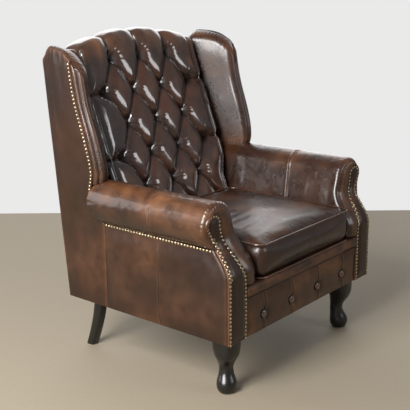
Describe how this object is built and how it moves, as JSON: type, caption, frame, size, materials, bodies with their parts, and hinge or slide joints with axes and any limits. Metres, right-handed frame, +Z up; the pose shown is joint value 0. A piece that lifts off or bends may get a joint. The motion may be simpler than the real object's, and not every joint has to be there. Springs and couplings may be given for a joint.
{
  "type": "upholstered armchair",
  "caption": "Wing-back armchair with buttoned leather back, scroll arms with nail trim, loose seat cushion, cabriole front legs and sabre rear legs.",
  "frame": {"origin": "on the floor, at the middle of the bounding box's base", "axes": "+Z up, +Y towards the back (the front faces -Y), +X to the right seen from the front"},
  "size_m": [0.87, 0.8041, 1.04],
  "materials": {
    "leather": "antique, dark brown rubbed red-brown on the edges, semi-gloss",
    "leg_wood": "ebonised, satin",
    "frame_wood": "planed beech, unfinished",
    "brass": "antique, darkened",
    "steel": "drawn wire and zinc-plated fasteners",
    "foam": "polyurethane foam and wadding",
    "webbing": "hessian",
    "dust_cloth": "black non-woven cloth"
  },
  "bodies": {
    "chair": {"arm_board_left": "frame_wood", "arm_board_right": "frame_wood", "arm_facing_left": "leather", "arm_facing_right": "leather", "arm_pad_left": "leather", "arm_pad_right": "leather", "arm_post_left": "frame_wood", "arm_post_right": "frame_wood", "arm_tack_rail_left": "frame_wood", "arm_tack_rail_right": "frame_wood", "back_buttons_row_1": "leather", "back_buttons_row_2": "leather", "back_buttons_row_3": "leather", "back_buttons_row_4": "leather", "back_buttons_row_5": "leather", "back_pad": "leather", "back_post_left": "frame_wood", "back_post_right": "frame_wood", "back_support": "webbing", "corner_block_front_left": "frame_wood", "corner_block_front_right": "frame_wood", "corner_block_rear_left": "frame_wood", "corner_block_rear_right": "frame_wood", "crest_rail": "frame_wood", "dust_cover": "dust_cloth", "facing_nails_left": "brass", "facing_nails_right": "brass", "front_border": "leather", "front_border_buttons": "leather", "front_leg_left": "leg_wood", "front_leg_right": "leg_wood", "front_lip": "leather", "front_rail": "frame_wood", "leg_bolt_front_left": "steel", "leg_bolt_front_right": "steel", "leg_bolt_rear_left": "steel", "leg_bolt_rear_right": "steel", "outer_back": "leather", "outer_wing_left": "leather", "outer_wing_right": "leather", "rear_leg_left": "leg_wood", "rear_leg_right": "leg_wood", "rear_rail": "frame_wood", "seat_deck": "foam", "seat_spring_1": "steel", "seat_spring_2": "steel", "seat_spring_3": "steel", "seat_spring_4": "steel", "side_nails_left": "brass", "side_nails_right": "brass", "side_panel_left": "leather", "side_panel_right": "leather", "side_rail_left": "frame_wood", "side_rail_right": "frame_wood", "wing_frame_left": "frame_wood", "wing_frame_right": "frame_wood", "wing_pad_left": "leather", "wing_pad_right": "leather"},
    "seat_cushion": {"cushion_cover": "leather", "cushion_core": "foam"}
  },
  "joints": [
    {"name": "cushion_lift", "type": "slide", "parent": "chair", "child": "seat_cushion", "axis": [0, 0, 1], "range_m": [0, 0.7]}
  ]
}
